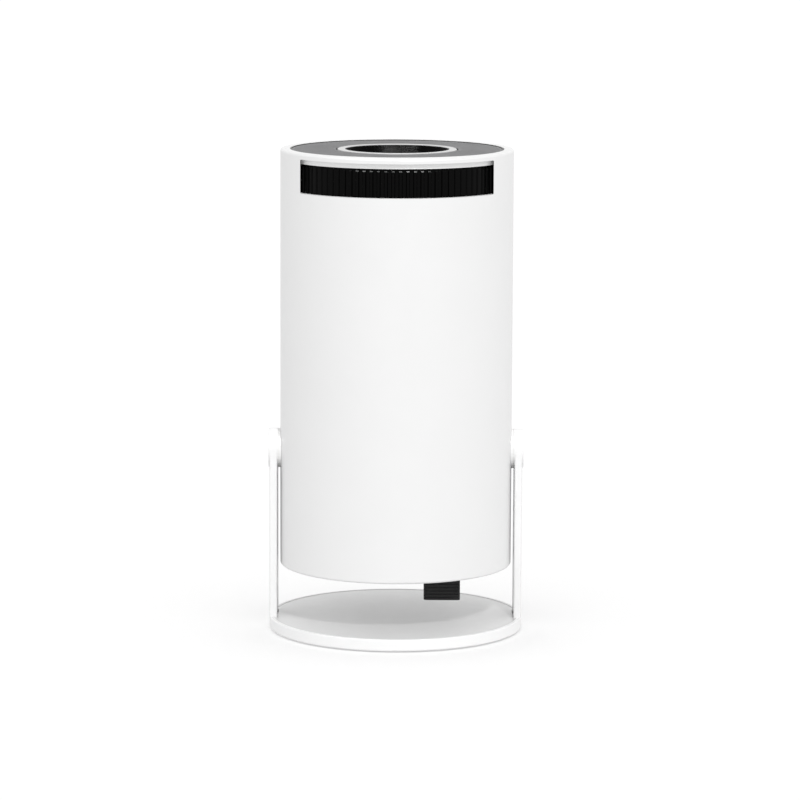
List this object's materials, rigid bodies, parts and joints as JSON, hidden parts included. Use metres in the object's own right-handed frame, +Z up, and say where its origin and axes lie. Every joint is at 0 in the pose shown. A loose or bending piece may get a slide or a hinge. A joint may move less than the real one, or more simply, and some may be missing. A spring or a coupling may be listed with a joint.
{
  "type": "portable video projector",
  "caption": "Cylindrical portable projector, standing lens-up and tilting between two arms on a round weighted base.",
  "frame": {"origin": "centre of the base's underside, on the surface that the stand rests on", "axes": "+Z up along the lens's axis at rest, +X along the tilt axis, -Y the side with the focus window"},
  "size_m": [0.119, 0.1184, 0.2253],
  "materials": {
    "white_shell": "fine satin",
    "white_stand": "satin",
    "white_inner": "matte",
    "base_pad": "soft matte",
    "grille_mesh": "fine perforated, matte",
    "black_ribbed": "satin",
    "black_barrel": "dull black",
    "connector_black": "moulded, matte",
    "rubber_foot": "soft",
    "lens_glass": "coated",
    "panel_glass": "dark panel",
    "steel": "zinc plated",
    "brass_parts": "machined",
    "washer_plastic": "waxy",
    "aluminium_parts": "extruded",
    "dark_internal": "moulded",
    "circuit_board": "solder mask",
    "ribbon_film": "film",
    "speaker_paper": "paper"
  },
  "bodies": {
    "stand": {"base_dish": "white_stand", "base_top_plate": "base_pad", "base_weight": "steel", "foot_ring": "rubber_foot", "tripod_insert": "brass_parts", "arm_screws": "steel", "left_arm": "white_stand", "right_arm": "white_stand", "left_pivot_cap": "white_stand", "right_pivot_cap": "white_stand"},
    "housing": {"audio_jack": "connector_black", "board_screws": "steel", "button_board": "circuit_board", "data_socket": "steel", "fan_frame": "dark_internal", "fan_screws": "steel", "fresnel_lenses": "lens_glass", "friction_washers": "washer_plastic", "front_bezel": "white_inner", "front_grille": "grille_mesh", "heat_sink": "aluminium_parts", "heat_sink_screws": "steel", "housing_screws": "steel", "infrared_window": "black_barrel", "inlet_pins": "brass_parts", "lamp_module": "aluminium_parts", "lcd_panel": "panel_glass", "lcd_ribbon": "ribbon_film", "left_pivot_boss": "white_stand", "lens_holder": "black_barrel", "lens_shroud": "black_barrel", "lens_trim_ring": "white_shell", "light_box": "dark_internal", "main_board": "circuit_board", "panel_spacers": "dark_internal", "pivot_nuts": "steel", "pivot_screws": "steel", "power_board": "circuit_board", "power_inlet": "connector_black", "power_leads": "connector_black", "processor_cooler": "aluminium_parts", "rear_cover": "white_inner", "reflector_cone": "aluminium_parts", "right_pivot_boss": "white_stand", "shell": "white_shell", "speaker_cone": "speaker_paper", "speaker_frame": "dark_internal", "speaker_gasket": "rubber_foot", "video_socket": "steel"},
    "focus_ring": {"focus_ring": "black_ribbed", "focus_sleeve": "black_barrel"},
    "lens_group": {"lens_barrel": "black_barrel", "front_lens": "lens_glass", "middle_lens": "lens_glass", "rear_lens": "lens_glass", "lens_retainer": "black_barrel"},
    "fan": {"fan_rotor": "dark_internal", "fan_shaft": "steel"},
    "power_button": {"power_button": "white_inner"},
    "connector": {"power_connector": "connector_black"}
  },
  "joints": [
    {"name": "housing_tilt", "type": "hinge", "parent": "stand", "child": "housing", "pos_m": [0, 0, 0.0849], "axis": [1, 0, 0], "range_deg": [-90, 90]},
    {"name": "focus_ring_turn", "type": "hinge", "parent": "housing", "child": "focus_ring", "pos_m": [0, 0, 0.213], "axis": [0, 0, 1], "range_deg": [-60, 60]},
    {"name": "lens_slide", "type": "slide", "parent": "housing", "child": "lens_group", "axis": [0, 0, 1], "range_m": [-0.004, 0.004]},
    {"name": "fan_spin", "type": "hinge", "parent": "housing", "child": "fan", "pos_m": [0, 0.014, 0.046], "axis": [0, 0, 1], "continuous": true},
    {"name": "power_button_press", "type": "slide", "parent": "housing", "child": "power_button", "axis": [0, 0, 1], "range_m": [0, 0.001], "stiffness_N_per_m": 800, "springref_m": -0.0005},
    {"name": "connector_pull", "type": "slide", "parent": "housing", "child": "connector", "axis": [0, 0, -1], "range_m": [0, 0.0105]}
  ],
  "couplings": [
    {"joint": "lens_slide", "follows": "focus_ring_turn", "m_per_rad": 0.003819}
  ]
}
